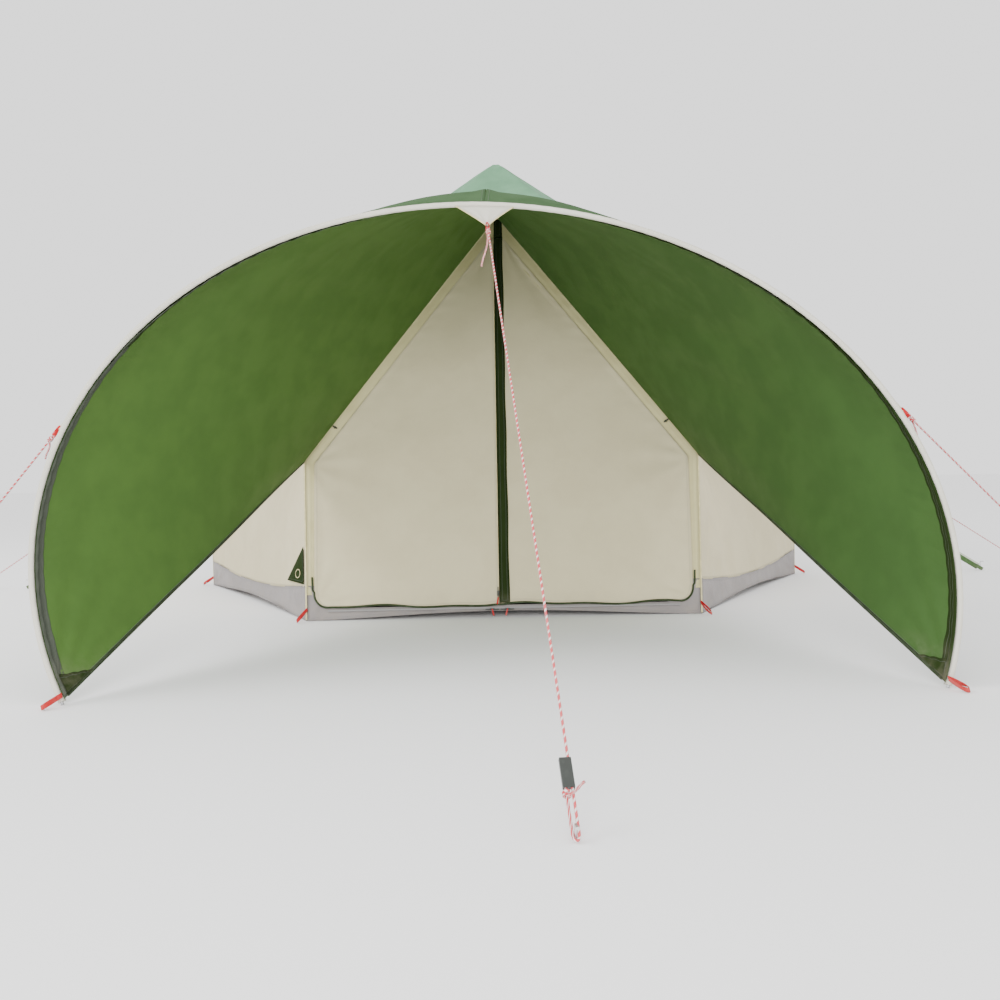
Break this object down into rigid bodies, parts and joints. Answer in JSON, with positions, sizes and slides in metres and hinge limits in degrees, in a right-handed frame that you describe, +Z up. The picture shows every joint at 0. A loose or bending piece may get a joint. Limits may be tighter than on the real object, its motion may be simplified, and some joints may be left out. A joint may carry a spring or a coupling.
{
  "type": "pole tent",
  "caption": "Six-sided tent on a centre pole, with two zipped doors, a floor and an awning hood held up by a bent arch pole and guy ropes.",
  "frame": {"origin": "on the ground under the centre pole, at the underside of the groundsheet", "axes": "+Z up, -Y towards the front of the tent where the doors and the arch are, +X to the right seen from inside looking at the rear"},
  "size_m": [6.372, 6.5841, 2.4711],
  "materials": {
    "green_fabric": "coated polyester, slight sheen",
    "cream_fabric": "uncoated polyester, matte",
    "floor_fabric": "woven polyethylene, satin",
    "dark_fabric": "coated polyester, matte",
    "pale_webbing": "polyester oxford, matte",
    "red_webbing": "nylon webbing",
    "strap_webbing": "polyester band with a pale edge",
    "guy_rope": "braided polyester, red and white",
    "fibreglass": "pultruded rod",
    "steel": "grey powder coat",
    "peg_steel": "zinc plated",
    "zip_coil": "nylon coil",
    "slider_metal": "black enamel",
    "black_plastic": "moulded nylon"
  },
  "bodies": {
    "tent": {"groundsheet": "floor_fabric", "bathtub_rim": "floor_fabric", "wall_rear_right": "cream_fabric", "wall_rear": "cream_fabric", "wall_rear_left": "cream_fabric", "wall_front_left": "cream_fabric", "wall_front_right": "cream_fabric", "roof_rear_right": "green_fabric", "roof_rear": "green_fabric", "roof_rear_left": "green_fabric", "roof_front_left": "green_fabric", "roof_front_right": "green_fabric", "peak_panel": "green_fabric", "door_header": "cream_fabric", "front_gable": "green_fabric", "zip_flap_head": "dark_fabric", "zip_bottom": "zip_coil", "door_sill": "floor_fabric", "arch_sleeve": "pale_webbing", "arch_rods": "fibreglass", "arch_ferrules": "steel", "arch_tips": "steel", "hood_left": "green_fabric", "hood_right": "green_fabric", "foot_patches": "dark_fabric", "guy_patches": "pale_webbing", "guy_rings": "red_webbing", "front_rope": "guy_rope", "arch_left_rope": "guy_rope", "arch_right_rope": "guy_rope", "ridge_left_rope": "guy_rope", "ridge_right_rope": "guy_rope", "pole_lower": "steel", "pole_middle": "steel", "pole_upper": "steel", "pole_foot": "black_plastic", "pole_cap": "black_plastic", "storm_straps_left": "strap_webbing", "storm_straps_right": "strap_webbing", "strap_buckles": "black_plastic", "ground_loops": "red_webbing", "ground_pegs": "peg_steel"},
    "door_left": {"door_left": "cream_fabric", "door_piping_left": "dark_fabric", "zip_tape_left": "zip_coil"},
    "door_right": {"door_right": "cream_fabric", "door_piping_right": "dark_fabric", "zip_tape_right": "zip_coil", "zip_flap": "dark_fabric"},
    "zip_slider_centre": {"zip_slider_centre": "slider_metal"},
    "zip_slider_left": {"zip_slider_left": "slider_metal"},
    "zip_slider_right": {"zip_slider_right": "slider_metal"},
    "toggle_left": {"toggle_left": "black_plastic"},
    "toggle_right": {"toggle_right": "black_plastic"},
    "cable_flap": {"cable_flap": "dark_fabric"},
    "front_runner": {"front_runner": "black_plastic"},
    "arch_left_runner": {"arch_left_runner": "black_plastic"},
    "arch_right_runner": {"arch_right_runner": "black_plastic"},
    "ridge_left_runner": {"ridge_left_runner": "black_plastic"},
    "ridge_right_runner": {"ridge_right_runner": "black_plastic"}
  },
  "joints": [
    {"name": "door_left_swing", "type": "hinge", "parent": "tent", "child": "door_left", "pos_m": [-0.893, -1.17373, 0.718], "axis": [-0.5492, -0.3592, -0.7546], "range_deg": [0, 60]},
    {"name": "door_right_swing", "type": "hinge", "parent": "tent", "child": "door_right", "pos_m": [0.893, -1.17373, 0.718], "axis": [-0.5492, 0.3592, 0.7546], "range_deg": [0, 60]},
    {"name": "zip_centre_slide", "type": "slide", "parent": "door_left", "child": "zip_slider_centre", "axis": [0, 0.4298, 0.9029], "range_m": [0, 1.75]},
    {"name": "zip_left_slide", "type": "slide", "parent": "tent", "child": "zip_slider_left", "axis": [-1, 0, 0], "range_m": [0, 0.68]},
    {"name": "zip_right_slide", "type": "slide", "parent": "tent", "child": "zip_slider_right", "axis": [1, 0, 0], "range_m": [0, 0.68]},
    {"name": "toggle_left_turn", "type": "hinge", "parent": "tent", "child": "toggle_left", "pos_m": [-0.79921, -1.10708, 0.87661], "axis": [0, -0.9029, 0.4298], "range_deg": [-90, 90]},
    {"name": "toggle_right_turn", "type": "hinge", "parent": "tent", "child": "toggle_right", "pos_m": [0.79921, -1.10708, 0.87661], "axis": [0, -0.9029, 0.4298], "range_deg": [-90, 90]},
    {"name": "cable_flap_hinge", "type": "hinge", "parent": "tent", "child": "cable_flap", "pos_m": [-0.9001, -1.43052, 0.15467], "axis": [-0.079, 0.4285, 0.9001], "range_deg": [0, 110]},
    {"name": "front_runner_slide", "type": "slide", "parent": "tent", "child": "front_runner", "axis": [-0.0761, 0.709, 0.7011], "range_m": [0, 0.25]},
    {"name": "arch_left_runner_slide", "type": "slide", "parent": "tent", "child": "arch_left_runner", "axis": [0.6736, -0.1003, 0.7323], "range_m": [0, 0.25]},
    {"name": "arch_right_runner_slide", "type": "slide", "parent": "tent", "child": "arch_right_runner", "axis": [-0.724, -0.1037, 0.682], "range_m": [0, 0.25]},
    {"name": "ridge_left_runner_slide", "type": "slide", "parent": "tent", "child": "ridge_left_runner", "axis": [0.8379, 0.0028, 0.5458], "range_m": [0, 0.25]},
    {"name": "ridge_right_runner_slide", "type": "slide", "parent": "tent", "child": "ridge_right_runner", "axis": [-0.8379, -0.0028, 0.5458], "range_m": [0, 0.25]}
  ]
}
